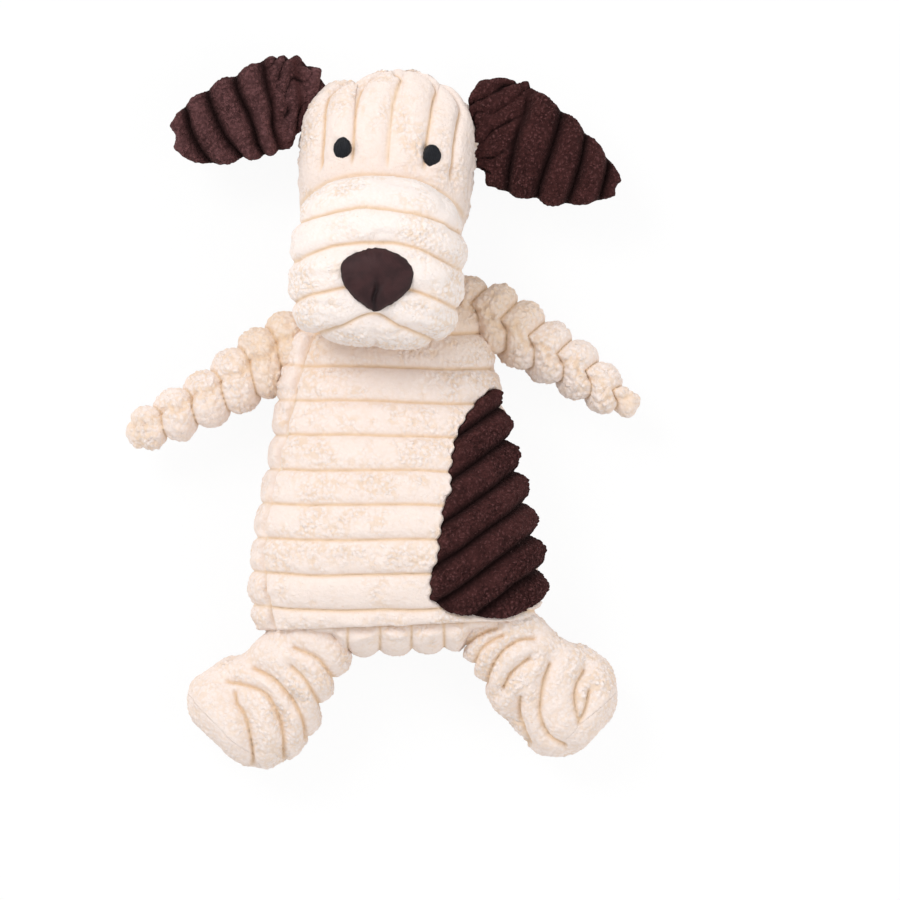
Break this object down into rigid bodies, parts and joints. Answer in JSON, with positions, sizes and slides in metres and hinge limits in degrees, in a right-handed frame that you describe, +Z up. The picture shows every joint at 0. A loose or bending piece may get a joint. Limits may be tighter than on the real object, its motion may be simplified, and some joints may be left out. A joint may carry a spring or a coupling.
{
  "type": "squeaky dog toy",
  "caption": "Stuffed corduroy plush dog with brown ears and flank patch, sewn limbs that swing, and a squeaker in its belly.",
  "frame": {"origin": "on the floor under the middle of the toy, which lies on its back", "axes": "+X to the viewer's right, +Y towards the head, +Z up out of the belly"},
  "size_m": [0.139, 0.1904, 0.0672],
  "materials": {
    "cream_plush": "wide-wale corduroy plush, matt",
    "brown_plush": "wide-wale corduroy plush, matt",
    "nose_satin": "satin, soft sheen",
    "eye_thread": "embroidery, soft sheen",
    "stuffing": "polyester wadding",
    "sewing_thread": "twisted thread",
    "squeaker_plastic": "blow-moulded, satin"
  },
  "bodies": {
    "torso": {"body_front_panel": "cream_plush", "body_back_panel": "cream_plush", "body_base_gusset": "cream_plush", "flank_patch": "brown_plush", "body_stuffing_front": "stuffing", "body_stuffing_back": "stuffing", "closing_stitches": "sewing_thread", "squeaker_capsule": "squeaker_plastic"},
    "squeaker_valve": {"squeaker_reed_holder": "squeaker_plastic", "squeaker_reed": "squeaker_plastic"},
    "neck": {"neck_stitches": "sewing_thread"},
    "head": {"forehead_panel": "cream_plush", "muzzle_panel": "cream_plush", "chin_panel": "cream_plush", "head_back_panel": "cream_plush", "head_stuffing": "stuffing", "nose_pad": "nose_satin", "mouth_stitch": "sewing_thread", "left_eye": "eye_thread", "right_eye": "eye_thread"},
    "left_ear": {"left_ear_front_panel": "brown_plush", "left_ear_back_panel": "brown_plush"},
    "left_shoulder": {"left_shoulder_stitches": "sewing_thread"},
    "left_arm": {"left_arm_sleeve": "cream_plush", "left_arm_stuffing": "stuffing"},
    "left_hip": {"left_hip_stitches": "sewing_thread"},
    "left_leg": {"left_leg_sleeve": "cream_plush", "left_leg_sole": "cream_plush", "left_leg_stuffing": "stuffing"},
    "right_ear": {"right_ear_front_panel": "brown_plush", "right_ear_back_panel": "brown_plush"},
    "right_shoulder": {"right_shoulder_stitches": "sewing_thread"},
    "right_arm": {"right_arm_sleeve": "cream_plush", "right_arm_stuffing": "stuffing"},
    "right_hip": {"right_hip_stitches": "sewing_thread"},
    "right_leg": {"right_leg_sleeve": "cream_plush", "right_leg_sole": "cream_plush", "right_leg_stuffing": "stuffing"}
  },
  "joints": [
    {"name": "squeaker_press", "type": "slide", "parent": "torso", "child": "squeaker_valve", "axis": [0, 0, -1], "range_m": [0, 0.005], "stiffness_N_per_m": 500, "deforming": ["squeaker_capsule"]},
    {"name": "neck_nod", "type": "hinge", "parent": "torso", "child": "neck", "pos_m": [-0.00203, 0.0309, 0.016], "axis": [0.9966, -0.0819, 0], "range_deg": [-20, 6], "stiffness_Nm_per_rad": 0.06},
    {"name": "neck_turn", "type": "hinge", "parent": "neck", "child": "head", "pos_m": [-0.00203, 0.0309, 0.016], "axis": [0.0819, 0.9966, 0], "range_deg": [-12, 12], "stiffness_Nm_per_rad": 0.06},
    {"name": "left_ear_flap", "type": "hinge", "parent": "head", "child": "left_ear", "pos_m": [-0.01973, 0.08403, 0.019], "axis": [-0.1357, 0.9907, 0], "range_deg": [-20, 60], "stiffness_Nm_per_rad": 0.01},
    {"name": "left_arm_swing", "type": "hinge", "parent": "torso", "child": "left_shoulder", "pos_m": [-0.02729, 0.01901, 0.015], "axis": [0, 0, -1], "range_deg": [-20, 35], "stiffness_Nm_per_rad": 0.03},
    {"name": "left_arm_lift", "type": "hinge", "parent": "left_shoulder", "child": "left_arm", "pos_m": [-0.02729, 0.01901, 0.015], "axis": [-0.4924, 0.8704, 0], "range_deg": [-10, 40], "stiffness_Nm_per_rad": 0.03},
    {"name": "left_leg_swing", "type": "hinge", "parent": "torso", "child": "left_hip", "pos_m": [-0.02329, -0.06399, 0.0135], "axis": [0, 0, -1], "range_deg": [-28, 8], "stiffness_Nm_per_rad": 0.05},
    {"name": "left_leg_lift", "type": "hinge", "parent": "left_hip", "child": "left_leg", "pos_m": [-0.02329, -0.06399, 0.0135], "axis": [-0.7071, 0.7071, 0], "range_deg": [-8, 30], "stiffness_Nm_per_rad": 0.05},
    {"name": "right_ear_flap", "type": "hinge", "parent": "head", "child": "right_ear", "pos_m": [0.02383, 0.07694, 0.019], "axis": [-0.3746, -0.9272, 0], "range_deg": [-20, 60], "stiffness_Nm_per_rad": 0.01},
    {"name": "right_arm_swing", "type": "hinge", "parent": "torso", "child": "right_shoulder", "pos_m": [0.02771, 0.02351, 0.015], "axis": [0, 0, 1], "range_deg": [-20, 35], "stiffness_Nm_per_rad": 0.03},
    {"name": "right_arm_lift", "type": "hinge", "parent": "right_shoulder", "child": "right_arm", "pos_m": [0.02771, 0.02351, 0.015], "axis": [-0.4384, -0.8988, 0], "range_deg": [-10, 40], "stiffness_Nm_per_rad": 0.03},
    {"name": "right_leg_swing", "type": "hinge", "parent": "torso", "child": "right_hip", "pos_m": [0.03271, -0.06359, 0.0135], "axis": [0, 0, 1], "range_deg": [-28, 8], "stiffness_Nm_per_rad": 0.05},
    {"name": "right_leg_lift", "type": "hinge", "parent": "right_hip", "child": "right_leg", "pos_m": [0.03271, -0.06359, 0.0135], "axis": [-0.7071, -0.7071, 0], "range_deg": [-8, 30], "stiffness_Nm_per_rad": 0.05}
  ]
}
